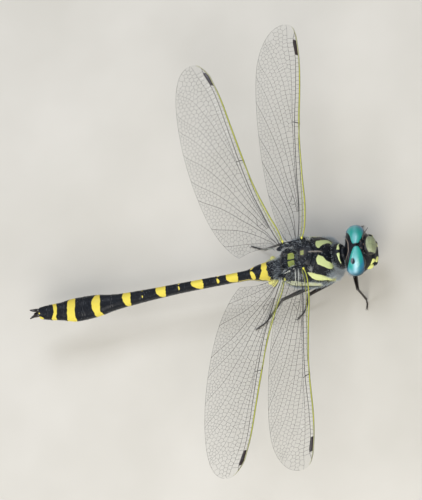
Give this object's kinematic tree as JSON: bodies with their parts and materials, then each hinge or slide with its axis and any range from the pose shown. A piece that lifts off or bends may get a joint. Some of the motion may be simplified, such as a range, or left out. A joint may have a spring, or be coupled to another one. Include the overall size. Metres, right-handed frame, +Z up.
{
  "type": "dragonfly",
  "caption": "Life-size still model of a goldenring dragonfly lying flat on its feet with its wings spread, for display.",
  "frame": {"origin": "on the floor under the middle of the part's box", "axes": "+X towards the head, +Y to the animal's left, +Z up from the floor"},
  "size_m": [0.0764, 0.0944, 0.0185],
  "materials": {
    "eye": "glossy, turquoise",
    "face_olive": "satin cuticle, pale olive",
    "face_yellow": "satin cuticle, yellow and black",
    "cuticle": "satin cuticle with fine pale hair and yellow stripes",
    "abdomen": "satin cuticle, black with yellow rings",
    "clasper": "satin cuticle, black",
    "leg": "satin cuticle, brown-black",
    "wing": "clear membrane with dark veins"
  },
  "bodies": {
    "root": {"eye_left": "eye", "eye_right": "eye", "frons": "face_olive", "clypeus": "face_yellow", "labrum": "face_yellow", "head": "cuticle", "antenna_left": "leg", "antenna_right": "leg", "prothorax": "cuticle", "thorax": "cuticle", "abdomen_1": "abdomen", "abdomen_10": "abdomen", "abdomen_2": "abdomen", "abdomen_3": "abdomen", "abdomen_4": "abdomen", "abdomen_5": "abdomen", "abdomen_6": "abdomen", "abdomen_7": "abdomen", "abdomen_8": "abdomen", "abdomen_9": "abdomen", "cercus_left": "clasper", "cercus_right": "clasper", "epiproct": "clasper", "foreleg_left_coxa": "leg", "foreleg_left_femur": "leg", "foreleg_left_tarsus": "leg", "foreleg_left_tibia": "leg", "foreleg_right_coxa": "leg", "foreleg_right_femur": "leg", "foreleg_right_tarsus": "leg", "foreleg_right_tibia": "leg", "forewing_left": "wing", "forewing_right": "wing", "hindleg_left_coxa": "leg", "hindleg_left_femur": "leg", "hindleg_left_tarsus": "leg", "hindleg_left_tibia": "leg", "hindleg_right_coxa": "leg", "hindleg_right_femur": "leg", "hindleg_right_tarsus": "leg", "hindleg_right_tibia": "leg", "hindwing_left": "wing", "hindwing_right": "wing", "midleg_left_coxa": "leg", "midleg_left_femur": "leg", "midleg_left_tarsus": "leg", "midleg_left_tibia": "leg", "midleg_right_coxa": "leg", "midleg_right_femur": "leg", "midleg_right_tarsus": "leg", "midleg_right_tibia": "leg"}
  },
  "joints": []
}
